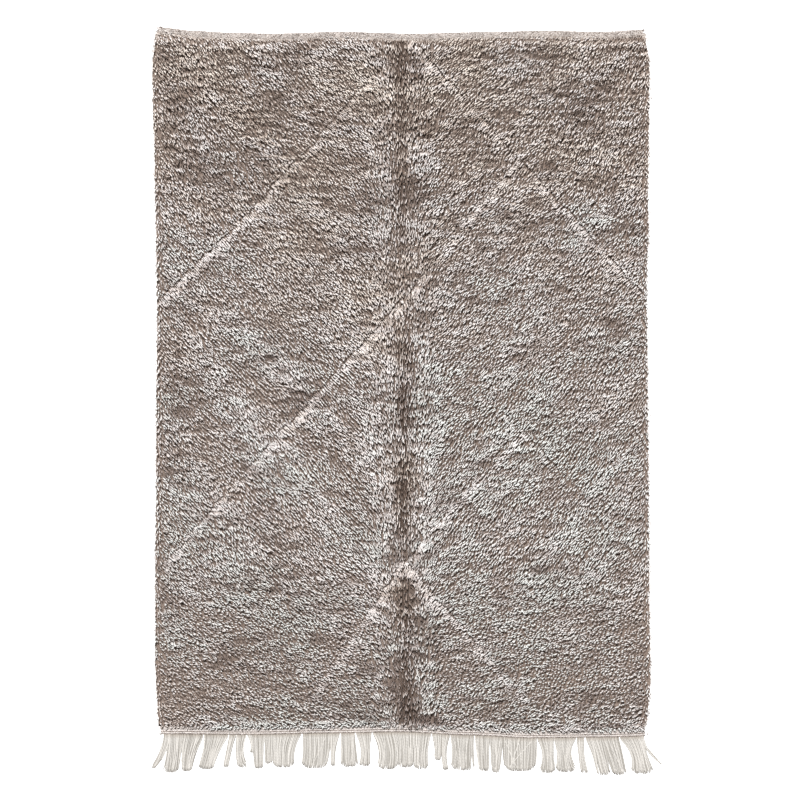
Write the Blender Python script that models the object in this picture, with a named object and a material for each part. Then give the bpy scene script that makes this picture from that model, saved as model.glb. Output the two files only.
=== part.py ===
"""A hand-knotted wool rug with a fringe at one end, lying flat on its back.

Two solids: the rug, one woven piece with its pile, its side edges and a thin flat-woven band at each
end, and the comb of warp ends that makes the fringe. Metres, +Z up. The origin is on the underside,
in the middle of the rug. +Y runs from the fringed end to the plain end.
"""
import math
from collections import namedtuple

import bmesh
import bpy

# Driving sizes
RUG_WIDTH = 1.70
RUG_LENGTH = 2.42           # of the woven piece, without its fringe
CREASE_X = 0.010            # the lengthwise fold, almost in the middle
PILE_HEIGHT = 0.024         # from the floor to the tips of the tufts
BAND_HEIGHT = 0.0045        # thickness of the flat-woven ends
FRINGE_HEIGHT = 0.004
HEADING = 0.005             # depth of the strip in which the fringe's yarns stay together
SEAM = 0.0003               # gap between the rug and its fringe
CELL = 0.043                # mesh size of the pile's upper side

# The outline, as uneven as the real one. Each table is read as a smooth curve through its rows.
Outline = namedtuple("Outline", "along across")
LEFT_EDGE = [               # along is y, across is x
    Outline(1.272, -0.850), Outline(1.203, -0.860), Outline(1.107, -0.860), Outline(0.866, -0.853),
    Outline(0.555, -0.847), Outline(0.245, -0.843), Outline(-0.031, -0.847), Outline(-0.341, -0.847),
    Outline(-0.583, -0.850), Outline(-0.893, -0.850), Outline(-1.128, -0.840)]
RIGHT_EDGE = [              # along is y, across is x
    Outline(1.272, 0.840), Outline(1.203, 0.853), Outline(0.934, 0.850), Outline(0.728, 0.847),
    Outline(0.583, 0.850), Outline(0.434, 0.843), Outline(0.003, 0.847), Outline(-0.307, 0.850),
    Outline(-0.652, 0.852), Outline(-0.997, 0.857), Outline(-1.135, 0.843)]
PLAIN_END = [               # along is x, across is y
    Outline(-0.840, 1.290), Outline(-0.798, 1.284), Outline(-0.729, 1.276), Outline(-0.591, 1.269),
    Outline(-0.453, 1.266), Outline(-0.212, 1.272), Outline(0.029, 1.266), Outline(0.305, 1.272),
    Outline(0.478, 1.276), Outline(0.685, 1.272), Outline(0.833, 1.279)]
FRINGED_END = [             # along is x, across is y
    Outline(-0.840, -1.148), Outline(-0.522, -1.150), Outline(-0.247, -1.145), Outline(-0.005, -1.141),
    Outline(0.236, -1.152), Outline(0.443, -1.162), Outline(0.685, -1.159), Outline(0.850, -1.155)]

# The pile rises from a thin edge: a row for each step, inwards from the edge
Step = namedtuple("Step", "inset height")
END_STEPS = [Step(0.0, 0.0040), Step(0.016, BAND_HEIGHT), Step(0.020, 0.0125), Step(0.029, 0.0205),
             Step(0.046, PILE_HEIGHT)]
SIDE_STEPS = [Step(0.0, 0.30), Step(0.004, 0.62), Step(0.012, 0.88), Step(0.028, 1.0)]  # height: a share

# The crossings of the diamond lattice, and how strongly each line between two of them shows
Crossing = namedtuple("Crossing", "x y")
CROSSINGS = {
    "top": Crossing(0.022, 1.252),
    "left_1": Crossing(-0.463, 0.708), "right_1": Crossing(0.409, 0.821),
    "left_side_1": Crossing(-0.840, 0.338), "middle_1": Crossing(-0.002, 0.338),
    "right_side_1": Crossing(0.847, 0.348),
    "left_2": Crossing(-0.433, -0.128), "right_2": Crossing(0.422, -0.114),
    "left_side_2": Crossing(-0.833, -0.576), "middle_2": Crossing(0.009, -0.555),
    "right_side_2": Crossing(0.847, -0.576),
    "left_3": Crossing(-0.330, -1.031), "right_3": Crossing(0.426, -1.038)}
Groove = namedtuple("Groove", "start end start_depth end_depth")
GROOVES = [
    Groove("top", "left_1", 0.003, 0.004), Groove("left_1", "left_side_1", 0.006, 0.006),
    Groove("top", "right_1", 0.003, 0.003), Groove("right_1", "right_side_1", 0.005, 0.005),
    Groove("right_1", "middle_1", 0.004, 0.006), Groove("left_1", "middle_1", 0.000, 0.003),
    Groove("middle_1", "left_2", 0.007, 0.005), Groove("middle_1", "right_2", 0.001, 0.002),
    Groove("left_2", "left_side_2", 0.003, 0.004), Groove("left_2", "middle_2", 0.004, 0.005),
    Groove("right_2", "middle_2", 0.003, 0.006), Groove("right_2", "right_side_2", 0.005, 0.003),
    Groove("middle_2", "left_3", 0.005, 0.003), Groove("middle_2", "right_3", 0.006, 0.004)]
GROOVE_WIDTH = 0.045        # from the middle of a groove to where it has almost ended
CREASE_DEPTH = 0.005
CREASE_WIDTH = 0.050

# The fringe's clumps of warp yarn: x at the heading, x at the tips, and y of the tips
Clump = namedtuple("Clump", "root_left root_right tip_left tip_right tip_y")
CLUMPS = [
    Clump(-0.838, -0.822, -0.862, -0.850, -1.269), Clump(-0.812, -0.772, -0.820, -0.772, -1.279),
    Clump(-0.757, -0.694, -0.757, -0.722, -1.276), Clump(-0.676, -0.612, -0.698, -0.650, -1.274),
    Clump(-0.598, -0.578, -0.619, -0.598, -1.268), Clump(-0.570, -0.538, -0.567, -0.531, -1.266),
    Clump(-0.529, -0.464, -0.512, -0.474, -1.268), Clump(-0.460, -0.346, -0.447, -0.371, -1.266),
    Clump(-0.339, -0.246, -0.347, -0.251, -1.266), Clump(-0.240, -0.222, -0.246, -0.229, -1.261),
    Clump(-0.216, -0.167, -0.219, -0.154, -1.263), Clump(-0.158, -0.104, -0.147, -0.110, -1.261),
    Clump(-0.097, 0.098, -0.081, 0.091, -1.272), Clump(0.108, 0.257, 0.114, 0.256, -1.276),
    Clump(0.261, 0.343, 0.261, 0.340, -1.281), Clump(0.347, 0.471, 0.347, 0.464, -1.283),
    Clump(0.475, 0.602, 0.473, 0.602, -1.285), Clump(0.608, 0.628, 0.611, 0.643, -1.287),
    Clump(0.657, 0.712, 0.671, 0.716, -1.291), Clump(0.717, 0.774, 0.729, 0.773, -1.289),
    Clump(0.781, 0.828, 0.781, 0.853, -1.286), Clump(0.832, 0.845, 0.872, 0.886, -1.260)]
TIP_ROUNDING = 0.25         # how far a clump's corners are cut, as a share of the tip's width


def read_curve(table, at):
    """The smooth curve through an outline table, read at one place along it."""
    rows = sorted(table)
    if at <= rows[0].along:
        return rows[0].across
    for low, high in zip(rows, rows[1:]):
        if at <= high.along:
            share = (at - low.along) / (high.along - low.along)
            return low.across + (high.across - low.across) * share * share * (3 - 2 * share)
    return rows[-1].across


def distance_to_line(x, y, start, end):
    """How far a point lies from the line between two crossings, and how far along it its foot is."""
    run_x, run_y = end.x - start.x, end.y - start.y
    share = ((x - start.x) * run_x + (y - start.y) * run_y) / (run_x ** 2 + run_y ** 2)
    share = min(1.0, max(0.0, share))
    return math.hypot(x - start.x - share * run_x, y - start.y - share * run_y), share


def relief(x, y):
    """How much lower the pile lies at a point, in the grooves and in the lengthwise crease."""
    deepest = CREASE_DEPTH * math.exp(-((x - CREASE_X) / CREASE_WIDTH * 2) ** 2)
    for groove in GROOVES:
        away, share = distance_to_line(x, y, CROSSINGS[groove.start], CROSSINGS[groove.end])
        depth = groove.start_depth + (groove.end_depth - groove.start_depth) * share
        deepest = max(deepest, depth * math.exp(-(away / GROOVE_WIDTH * 2) ** 2))
    unevenness = 0.0007 * (math.sin(9 * x + 4 * y) + math.sin(7 * y - 5 * x + 1))
    return deepest + unevenness


def spaced(steps, length, cell):
    """Places across a length: the steps at each end, and even spaces between them."""
    near = [step.inset for step in steps]
    inner = length - 2 * near[-1]
    count = round(inner / cell)
    middle = [near[-1] + inner * i / count for i in range(1, count)]
    return near + middle + [length - inset for inset in reversed(near)]


def step_height(steps, index, count):
    """The height that the table gives to one place, counted from the nearer edge."""
    return steps[min(index, count - 1 - index, len(steps) - 1)].height


def material(name, colour, roughness):
    """A plain shader with the part's colour."""
    made = bpy.data.materials.new(name)
    made.use_nodes = True
    shader = made.node_tree.nodes["Principled BSDF"]
    shader.inputs["Base Color"].default_value = (*colour, 1)
    shader.inputs["Roughness"].default_value = roughness
    shader.inputs["Metallic"].default_value = 0
    return made


def add_object(name, mesh_data, finish):
    """Turn a bmesh into a named object with its own material."""
    bmesh.ops.recalc_face_normals(mesh_data, faces=mesh_data.faces)
    mesh = bpy.data.meshes.new(name)
    mesh_data.to_mesh(mesh)
    mesh_data.free()
    mesh.materials.append(finish)
    made = bpy.data.objects.new(name, mesh)
    bpy.context.collection.objects.link(made)
    return made


def column_places():
    """The x of each column of the pile, as a share of the width from the left edge."""
    return [inset / RUG_WIDTH for inset in spaced(SIDE_STEPS, RUG_WIDTH, CELL)]


def end_x(share):
    """The x at which a column of the pile meets the fringed end."""
    left = LEFT_EDGE[-1].across
    right = RIGHT_EDGE[-1].across
    return left + (right - left) * share


def place(across, along, at_end):
    """The point of the rug's outline-shaped grid at a share of its width and of its length."""
    x = end_x(across)
    y = read_curve(FRINGED_END, x) * (1 - along) + read_curve(PLAIN_END, x) * along
    if at_end:
        return x, y
    left, right = read_curve(LEFT_EDGE, y), read_curve(RIGHT_EDGE, y)
    x = left + (right - left) * across
    return x, read_curve(FRINGED_END, x) * (1 - along) + read_curve(PLAIN_END, x) * along


def make_rug():
    """The woven piece: a grid shaped by the outline tables, closed by walls and a flat underside."""
    columns = column_places()
    rows = [inset / RUG_LENGTH for inset in spaced(END_STEPS, RUG_LENGTH, CELL)]
    rug = bmesh.new()
    bmesh.ops.create_grid(rug, x_segments=len(columns) - 1, y_segments=len(rows) - 1, size=1)
    for vertex in rug.verts:
        column = round((vertex.co.x + 1) / 2 * (len(columns) - 1))
        row = round((vertex.co.y + 1) / 2 * (len(rows) - 1))
        x, y = place(columns[column], rows[row], at_end=row == 0)
        height = step_height(END_STEPS, row, len(rows)) * step_height(SIDE_STEPS, column, len(columns))
        if height > 0.9 * PILE_HEIGHT:
            height -= relief(x, y)
        vertex.co = (x, y, height)
    rim = [edge for edge in rug.edges if edge.is_boundary]
    wall = bmesh.ops.extrude_edge_only(rug, edges=rim)["geom"]
    for item in wall:
        if isinstance(item, bmesh.types.BMVert):
            item.co.z = 0
    bmesh.ops.edgeloop_fill(rug, edges=[item for item in wall if isinstance(item, bmesh.types.BMEdge)])
    return add_object("rug", rug, material("wool pile", (0.34, 0.29, 0.265), 0.95))


def fringe_outline():
    """The comb seen from above: along the rug's edge, then back round every clump of yarn."""
    heading = [end_x(share) for share in column_places()]
    points = [(x, read_curve(FRINGED_END, x) - SEAM) for x in heading]
    for clump in reversed(CLUMPS):
        cut = (clump.tip_right - clump.tip_left) * TIP_ROUNDING
        points += [
            (clump.root_right, read_curve(FRINGED_END, clump.root_right) - HEADING),
            (clump.tip_right, clump.tip_y + cut), (clump.tip_right - cut, clump.tip_y),
            (clump.tip_left + cut, clump.tip_y), (clump.tip_left, clump.tip_y + cut),
            (clump.root_left, read_curve(FRINGED_END, clump.root_left) - HEADING)]
    return points


def make_fringe():
    """The comb of warp ends, one flat extruded shape."""
    fringe = bmesh.new()
    outline = [fringe.verts.new((x, y, 0)) for x, y in fringe_outline()]
    face = fringe.faces.new(outline)
    raised = bmesh.ops.extrude_face_region(fringe, geom=[face], use_keep_orig=True)["geom"]
    for item in raised:
        if isinstance(item, bmesh.types.BMVert):
            item.co.z = FRINGE_HEIGHT
    return add_object("fringe", fringe, material("warp yarn", (0.72, 0.67, 0.58), 0.9))


def main():
    for old in list(bpy.data.objects):
        bpy.data.objects.remove(old)
    make_rug()
    make_fringe()


main()
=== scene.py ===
# %% [markdown]
# # A hand-knotted wool rug
#
# This lesson dresses a plain model of a thick wool rug. The model knows the rug's true outline, the
# height of its pile and the clumps of its fringe. What it lacks is everything that makes a rug look
# like one: tens of thousands of knotted tufts, the way they lean, the grooves of the diamond
# pattern, the woven ends and the yarns of the fringe. We read the sizes from the model, so that
# every tuft stands where the model says there is pile.

# %% The frame: the plain model, and the box that it fills
import math
from collections import namedtuple

import bmesh
import bpy
import numpy as np
from mathutils import Matrix, Vector, noise
from mathutils.bvhtree import BVHTree


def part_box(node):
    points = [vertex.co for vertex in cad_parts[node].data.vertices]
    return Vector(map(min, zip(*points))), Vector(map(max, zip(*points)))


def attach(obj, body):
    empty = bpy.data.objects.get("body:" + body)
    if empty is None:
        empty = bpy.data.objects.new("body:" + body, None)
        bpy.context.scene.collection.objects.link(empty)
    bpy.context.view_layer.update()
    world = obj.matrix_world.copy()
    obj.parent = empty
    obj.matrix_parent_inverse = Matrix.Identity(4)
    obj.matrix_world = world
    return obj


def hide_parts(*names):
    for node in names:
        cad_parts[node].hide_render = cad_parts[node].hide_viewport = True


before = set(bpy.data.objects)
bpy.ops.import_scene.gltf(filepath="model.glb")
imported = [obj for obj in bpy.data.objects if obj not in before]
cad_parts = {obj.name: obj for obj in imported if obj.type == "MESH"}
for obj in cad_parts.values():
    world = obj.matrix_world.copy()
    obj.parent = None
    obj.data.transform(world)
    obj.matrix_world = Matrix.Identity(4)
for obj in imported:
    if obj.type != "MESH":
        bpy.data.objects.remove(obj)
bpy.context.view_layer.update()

MM = 0.001
chance = np.random.default_rng(240)
rug_low, rug_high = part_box("rug")
rug_width, rug_length = rug_high.x - rug_low.x, rug_high.y - rug_low.y
print(f"rug {rug_width:.3f} x {rug_length:.3f} m, {rug_high.z / MM:.0f} mm high")

# %% [markdown]
# ## Camera, floor and light
#
# The rug lies flat and is seen from straight above. A long lens far away keeps its edges parallel,
# as in a picture for a catalogue. One large soft lamp hangs beyond the rug's plain end. Light from
# that side falls on the backs of the leaning tufts and leaves thin shadows under their tips, which
# is what makes pile look deep. A pale sky fills the shadows a little.

# %% Camera
PICTURE_WIDTH = 2.7495      # metres across the picture
PICTURE_CENTRE = (-0.007, 0.003)
PICTURE_HEIGHT = 0.8        # where that width is measured, as a share of the pile's height
LENS = 85.0                 # mm
FARTHEST = 200.0            # metres: nothing beyond is drawn


def add_object(name, data):
    """A new object in the scene, made of a mesh, a camera or a light."""
    thing = bpy.data.objects.new(name, data)
    bpy.context.collection.objects.link(thing)
    return thing


camera = add_object("camera", bpy.data.cameras.new("camera"))
camera.data.lens = LENS
distance = PICTURE_WIDTH * LENS / camera.data.sensor_width
camera.location = (*PICTURE_CENTRE, distance + rug_high.z * PICTURE_HEIGHT)
camera.data.clip_end = FARTHEST
bpy.context.scene.camera = camera
bpy.context.scene.view_settings.view_transform = "Standard"
print(f"camera {distance:.2f} m above the pile")


# %% Floor
FLOOR_HALF_WIDTH = 40.0


def shader_of(material):
    """The main shader of a material."""
    return material.node_tree.nodes["Principled BSDF"]


def set_inputs(node, values):
    """Sets some of a node's inputs, by their names."""
    for name, value in values.items():
        node.inputs[name].default_value = value


def object_from(name, shape):
    """Turns a bmesh into an object."""
    mesh = bpy.data.meshes.new(name)
    shape.to_mesh(mesh)
    shape.free()
    return add_object(name, mesh)


def plain_floor():
    """A wide pale floor under everything. It glows a little, as a floor in a white room does."""
    shape = bmesh.new()
    bmesh.ops.create_grid(shape, x_segments=1, y_segments=1, size=FLOOR_HALF_WIDTH)
    floor = object_from("floor", shape)
    paint = bpy.data.materials.new("floor")
    paint.use_nodes = True
    set_inputs(shader_of(paint), {
        "Base Color": (0.90, 0.90, 0.90, 1), "Roughness": 0.9, "Specular IOR Level": 0.1,
        "Emission Color": (1, 1, 1, 1), "Emission Strength": 0.4})
    floor.data.materials.append(paint)
    print(f"floor {2 * FLOOR_HALF_WIDTH:.0f} m wide")


plain_floor()

# %% Lamp and sky
LAMP_PLACE = Vector((-4.2, 24.0, 39.0))
LAMP_SIZE = 9.6
LAMP_WATTS = 46000
SKY_COLOUR = (1, 0.92, 0.87, 1)
SKY_GLOW = 0.25             # how strongly the sky lights the rug
SKY_SEEN = 0.95             # how bright it looks past the floor's edge


def soft_lamp():
    """A square lamp that looks at the middle of the rug."""
    light = bpy.data.lights.new("softbox", "AREA")
    light.shape = "SQUARE"
    light.size = LAMP_SIZE
    light.energy = LAMP_WATTS
    lamp = add_object("softbox", light)
    lamp.location = LAMP_PLACE
    lamp.rotation_euler = (-LAMP_PLACE).to_track_quat("-Z", "Y").to_euler()


def pale_sky():
    """A sky whose light is weak, but which looks bright past the floor's edge."""
    world = bpy.data.worlds.new("sky")
    world.use_nodes = True
    nodes, links = world.node_tree.nodes, world.node_tree.links
    set_inputs(nodes["Background"], {"Color": SKY_COLOUR})
    strength = nodes.new("ShaderNodeMapRange")
    set_inputs(strength, {"To Min": SKY_GLOW, "To Max": SKY_SEEN})
    links.new(nodes.new("ShaderNodeLightPath").outputs["Is Camera Ray"], strength.inputs["Value"])
    links.new(strength.outputs["Result"], nodes["Background"].inputs["Strength"])
    bpy.context.scene.world = world


soft_lamp()
pale_sky()
print(f"lamp {LAMP_PLACE.length:.0f} m away and {LAMP_SIZE} m across")

# %% [markdown]
# ## Reading the outline from the model
#
# The rug was woven by hand, so no edge is straight. The model's flat underside has the true outline.
# Its lowest ring of points gives four curves: two sides and two ends. Everything that follows the
# cloth, such as the rows of knots, the woven bands and the side cords, is placed between them.

# %% Outline curves
NEAR_THE_EDGE = 40 * MM     # a point of the outline this near to one side of the box belongs to that edge
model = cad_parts["rug"].data
ring = np.array(sorted({(round(v.co.x, 5), round(v.co.y, 5)) for v in model.vertices
                        if v.co.z < 0.1 * MM}))


def edge_curve(points, along, across):
    """One edge of the outline, as a function: across it at any place along it."""
    points = points[np.argsort(points[:, along])]
    return lambda at: np.interp(at, points[:, along], points[:, across])


left_at = edge_curve(ring[ring[:, 0] < rug_low.x + NEAR_THE_EDGE], 1, 0)
right_at = edge_curve(ring[ring[:, 0] > rug_high.x - NEAR_THE_EDGE], 1, 0)
plain_at = edge_curve(ring[ring[:, 1] > rug_high.y - NEAR_THE_EDGE], 0, 1)
fringed_at = edge_curve(ring[ring[:, 1] < rug_low.y + NEAR_THE_EDGE], 0, 1)
print(f"outline read from {len(ring)} points")


def between(low, high, share):
    """A place between two others: low at share 0, and high at 1."""
    return low + (high - low) * share


# %% [markdown]
# ## Helpers for uneven things
#
# Hand work repeats without ever being the same. A smooth noise field, read once for each tuft,
# gives patches in which neighbours share a tone or a direction. Stretching the field sideways gives
# streaks along the rows, as when one batch of yarn ends and another starts.


# %% Noise fields and soft steps
NOISE_GAIN = 1.7            # brings the noise to about -1 to 1


def cloud(x, y, wide, long, seed):
    """Smooth noise at many points, with patches of the given size, roughly from -1 to 1."""
    values = [noise.noise((a, b, seed)) for a, b in zip(*np.broadcast_arrays(x / wide, y / long))]
    return np.array(values) * NOISE_GAIN


def soft_step(none, full, value):
    """0 at none, 1 at full, and a smooth rise between them. none may be the larger one."""
    share = np.clip((value - none) / (full - none), 0, 1)
    return share * share * (3 - 2 * share)


def spot(x, y, centre_x, centre_y, reach_x, reach_y):
    """A soft round spot, 1 in its middle."""
    return np.exp(-((x - centre_x) / reach_x) ** 2 - ((y - centre_y) / reach_y) ** 2)


print(f"half way through a soft step: {soft_step(0, 1, 0.5):.1f}")


# %% [markdown]
# ## The diamond pattern
#
# Nothing on this rug is dyed: the diamonds show only because the pile parts along their lines. On the
# upper side of a line the tufts stop, and their tips throw a thin shadow, which is also painted into the
# tone of the tufts there as painted shadow. On the lower side the first rows of tufts lie bare, with
# nothing hanging over them, and make a smooth pale band. The crossings and the lines between them are few,
# so they are listed in two short tables. A strength of 1 is the clearest line on the rug, and 0 is one
# that has faded away.

# %% The crossings and the grooves between them
Crossing = namedtuple("Crossing", "x y")
CROSSINGS = {
    "top": Crossing(0.022, 1.252),
    "left_1": Crossing(-0.463, 0.708), "right_1": Crossing(0.409, 0.821),
    "left_side_1": Crossing(-0.840, 0.338), "middle_1": Crossing(-0.002, 0.338),
    "right_side_1": Crossing(0.847, 0.348),
    "left_2": Crossing(-0.433, -0.128), "right_2": Crossing(0.422, -0.114),
    "left_side_2": Crossing(-0.833, -0.576), "middle_2": Crossing(0.009, -0.555),
    "right_side_2": Crossing(0.847, -0.576),
    "left_3": Crossing(-0.330, -1.031), "right_3": Crossing(0.426, -1.038)}
Groove = namedtuple("Groove", "start end pale shadow")     # strengths at even steps from start to end
GROOVES = [
    Groove("top", "left_1", (0.30, 0.40, 0.60, 0.45), (0.0, 0.1, 0.2, 0.1)),
    Groove("left_1", "left_side_1", (0.90, 1.0, 0.95, 0.90, 0.80, 0.70),
           (0.3, 0.4, 0.2, 0.0, 0.3, 0.2)),
    Groove("top", "right_1", (0.50, 0.50, 0.60, 0.55), (0.1, 0.1, 0.3, 0.8)),
    Groove("right_1", "right_side_1", (0.50, 0.80, 0.85, 0.80, 0.50, 0.40),
           (0.9, 0.9, 0.7, 0.1, 0.0, 0.0)),
    Groove("right_1", "middle_1", (0.50, 0.62, 0.62, 0.70), (0.1, 0.0, 0.0, 0.5)),
    Groove("left_1", "middle_1", (0.0, 0.0, 0.0, 0.25), (0.0, 0.0, 0.0, 0.0)),
    Groove("middle_1", "left_2", (0.55, 0.60, 0.65, 0.70, 0.85, 0.70),
           (0.8, 0.5, 0.2, 0.0, 0.0, 0.3)),
    Groove("middle_1", "right_2", (0.0, 0.10, 0.25, 0.40), (0.0, 0.0, 0.0, 0.2)),
    Groove("left_2", "left_side_2", (0.60, 0.50, 0.60, 0.60), (0.2, 0.0, 0.0, 0.2)),
    Groove("left_2", "middle_2", (0.45, 0.25, 0.30, 0.55), (0.2, 0.0, 0.0, 0.1)),
    Groove("right_2", "middle_2", (0.80, 0.60, 0.65, 0.85), (0.2, 0.0, 0.1, 0.3)),
    Groove("right_2", "right_side_2", (0.60, 0.30, 0.10, 0.10), (0.3, 0.6, 0.0, 0.0)),
    Groove("middle_2", "left_3", (0.60, 0.65, 0.65, 0.45), (0.1, 0.0, 0.0, 0.0)),
    Groove("middle_2", "right_3", (0.95, 0.88, 0.75, 0.60), (0.8, 0.7, 0.5, 0.2))]
print(f"{len(GROOVES)} grooves between {len(CROSSINGS)} crossings")

# %% Measuring from a groove
PALE_BAND = 30 * MM         # its width below the line
BAND_START, BAND_FULL = -13 * MM, -8 * MM   # above the line: the tufts there hang over it
SHADOW_LINE = 3 * MM
STRAY = 7 * MM              # how far a hand-made line wanders, in long waves
RIPPLE = 2.5 * MM           # and in short ones


def strength_at(share, steps):
    """A strength at any share of a groove's length, from those at even steps."""
    return np.interp(share, np.linspace(0, 1, len(steps)), steps)


def measured_from(groove, x, y):
    """How far points lie below a groove, how pale and how shaded it is there, and which way is down."""
    start, end = Vector(CROSSINGS[groove.start]), Vector(CROSSINGS[groove.end])
    run = (end - start).normalized()
    length = (end - start).length
    down = Vector((-run.y, run.x)) if run.x < 0 else Vector((run.y, -run.x))
    along = (x - start.x) * run.x + (y - start.y) * run.y
    wander = STRAY * cloud(along, 0 * along, 0.16, 1, 31.5 + start.x)
    wander = wander + RIPPLE * np.sin(along * 74 + end.x * 40)
    away = (x - start.x) * down.x + (y - start.y) * down.y + wander
    share = along / length
    fading = 0.8 + 0.35 * cloud(along, 0 * along, 0.05, 1, 35.5 + end.x)
    inside = fading * soft_step(12 * MM, -4 * MM, np.maximum(-along, along - length))
    return away, strength_at(share, groove.pale) * inside, strength_at(share, groove.shadow) * inside, down


def across_the_band(away, width):
    """1 in the pale band below a groove, 0 above it and past the band's width."""
    return soft_step(BAND_START, BAND_FULL, away) * soft_step(width, 0.2 * width, away)


def pale_at(x, y):
    """How clearly a point lies in the pale band of any groove."""
    palest = np.zeros(len(x))
    for groove in GROOVES:
        away, strength = measured_from(groove, x, y)[:2]
        palest = np.maximum(palest, strength * across_the_band(away, PALE_BAND))
    return palest


middle = pale_at(*np.array([CROSSINGS["left_1"]]).T)[0]
print(f"at the upper left crossing the pale band has {middle:.1f} of its full strength")

# %% [markdown]
# ## The lengthwise fold
#
# The rug was kept folded down the middle. The crease presses the tufts apart, so that dark feet show
# between light strands that all run along it; the feet, the tufts and the cloth in the fold are painted
# darker and browner, as painted shade. A short table says how open it is, end to end.

# %% Fold
Fold = namedtuple("Fold", "y open x")
FOLD = [Fold(-1.13, 1.00, 0.022), Fold(-0.95, 0.80, 0.016), Fold(-0.65, 0.80, 0.010),
        Fold(-0.555, 0.10, 0.008), Fold(-0.46, 1.00, 0.006), Fold(-0.05, 1.00, 0.008),
        Fold(0.20, 0.90, 0.004), Fold(0.33, 0.20, 0.002), Fold(0.48, 0.15, 0.0),
        Fold(0.60, 0.60, 0.0), Fold(1.00, 0.60, -0.002), Fold(1.20, 0.80, -0.004)]
FOLD_HALF_WIDTH = 32 * MM
FOLD_WOBBLE = 2.5 * MM      # in waves 0.3 m long


def read_off(table, column, y):
    """A value at any place along the rug, from a table whose rows give their own y."""
    return np.interp(y, [row.y for row in table], [getattr(row, column) for row in table])


def crease_at(y):
    """Where the middle of the crease is, across the rug."""
    return read_off(FOLD, "x", y) + FOLD_WOBBLE * np.sin(y * 21)


def in_the_fold(x, y):
    """How far the lengthwise fold opens the pile at a point."""
    return read_off(FOLD, "open", y) * np.exp(-((x - crease_at(y)) / FOLD_HALF_WIDTH) ** 2)


print(f"the fold is most open at {max(row.open for row in FOLD):.1f} of its full depth")

# %% [markdown]
# ## Which way the pile leans
#
# Pile leans away from the end where the weaver finished a row, here down the rug, and this rug was
# folded lengthwise, which pushed both halves in towards the fold. So the left half leans down and
# to the right, the right half down and to the left, and the tufts in the fold lie straight along
# it. Towards the fringed end they lean further over, almost level with the rows. The lean is a
# field: one angle for any place. Broad and fine noise turn it a little, so that the pile flows.

# %% The lean of the pile
SIDEWAYS_LEAN = math.radians(43)
MOST_LEAN = math.radians(77)
MORE_LEAN = 0.72            # how much more the pile leans near the fringed end, as a share
LESS_LEAN = 0.25            # and how much less in the two corners of the plain end


def near_fringe(y):
    """1 in the lowest 30 cm of the pile, falling to 0 above them."""
    return soft_step(-0.50, -0.85, y)


def lean_at(x, y):
    """The angle between the pile and the length of the rug: positive leans to the right."""
    from_crease = x - crease_at(y)
    beside = soft_step(0.015, 0.16, np.abs(from_crease))
    corner = soft_step(0.3, 0.8, np.abs(from_crease)) * soft_step(0.4, 0.9, y)
    sideways = SIDEWAYS_LEAN * beside * (1 + MORE_LEAN * near_fringe(y))
    sideways *= 1 - LESS_LEAN * corner
    turn = 0.13 * cloud(x, y, 0.110, 0.080, 1.5) + 0.08 * cloud(x, y, 0.040, 0.026, 7.5)
    lean = turn * (0.35 + 0.65 * beside) - np.sign(from_crease) * sideways
    return np.clip(lean, -MOST_LEAN, MOST_LEAN)


print(f"the pile leans {math.degrees(SIDEWAYS_LEAN):.0f} degrees sideways on both halves")

# %% [markdown]
# ## Where the knots are
#
# Each tuft is tied round the warps in a row that runs across the rug. We lay out the rows from the
# plain end down. A comb drawn through pile leaves it in lines, with dark gaps between them, so each
# row starts from the places that the tufts of the row above point to. Where two lines crowd each
# other one is dropped, and where they part one is added. A tuft that leans far over covers less of
# the cloth below it, so there the lines keep their distance square to the lean, and the rows come
# closer. Random places would be simpler, but they look like fur and not like combed wool.

# %% Lines of tufts
LINE_PITCH = 7.2 * MM       # between two lines of tufts, measured square to them
LINE_JITTER = 0.13          # how far a knot strays from its line, as a share of the pitch
TUFT_STEP = 10.0 * MM       # from one tuft to the next along a line
STEP_JITTER = 0.22
FIRST_ROW = 3 * MM          # from the plain end of the rug


def keep_in_lines(x, y, left, right):
    """Evens out one row: drops lines that crowd their neighbours and adds lines where there is room."""
    opened = in_the_fold(x, np.full(len(x), y))
    wanted = LINE_PITCH * (1 + 0.35 * opened) / np.cos(lean_at(x, y))
    x = x + 0.10 * (np.diff(x, append=x[-1] + wanted[-1]) - np.diff(x, prepend=x[0] - wanted[0]))
    line = list(np.arange(x[0] - wanted[0], left, -wanted[0])[::-1])
    for place, pitch, least in zip(x, wanted, 0.62 + 0.2 * opened):
        room = (place - line[-1]) / pitch if line else 1
        if room > 1.55:
            line.append((place + line[-1]) / 2)
        if room > least:
            line.append(place)
    line += list(np.arange(line[-1] + wanted[-1], right, wanted[-1]))
    return np.array([place for place in line if left < place < right])


def row_pitch(y):
    """How far apart the rows are: closer where the pile leans more, so that it covers the cloth."""
    return TUFT_STEP * np.cos(np.abs(lean_at(np.array([-0.5, -0.3, 0.3, 0.5]), y))).mean()


def rows_of_knots():
    """The x of every knot in a line, and its place along the rug as a share, row by row."""
    x = np.arange(rug_low.x, rug_high.x, LINE_PITCH)
    y = rug_high.y - FIRST_ROW
    all_x, all_along = [], []
    while y > rug_low.y:
        pitch = row_pitch(y)
        x = keep_in_lines(x + pitch * np.tan(lean_at(x, y)), y, left_at(y), right_at(y))
        along = (y - rug_low.y + chance.normal(0, STEP_JITTER * pitch, len(x))) / rug_length
        needed = chance.random(len(x)) < pitch / (TUFT_STEP * np.cos(lean_at(x, y)))
        all_x.append(x[needed])
        all_along.append(along[needed])
        y -= pitch
    return np.concatenate(all_x), np.concatenate(all_along)


# %% Short tufts between the lines
SHORT_SHARE = 0.10          # for each tuft in a line, how many short ones stand beside it
LAST_ROWS = 48 * MM         # at the fringed end, where every tuft has another one beside it


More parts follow.
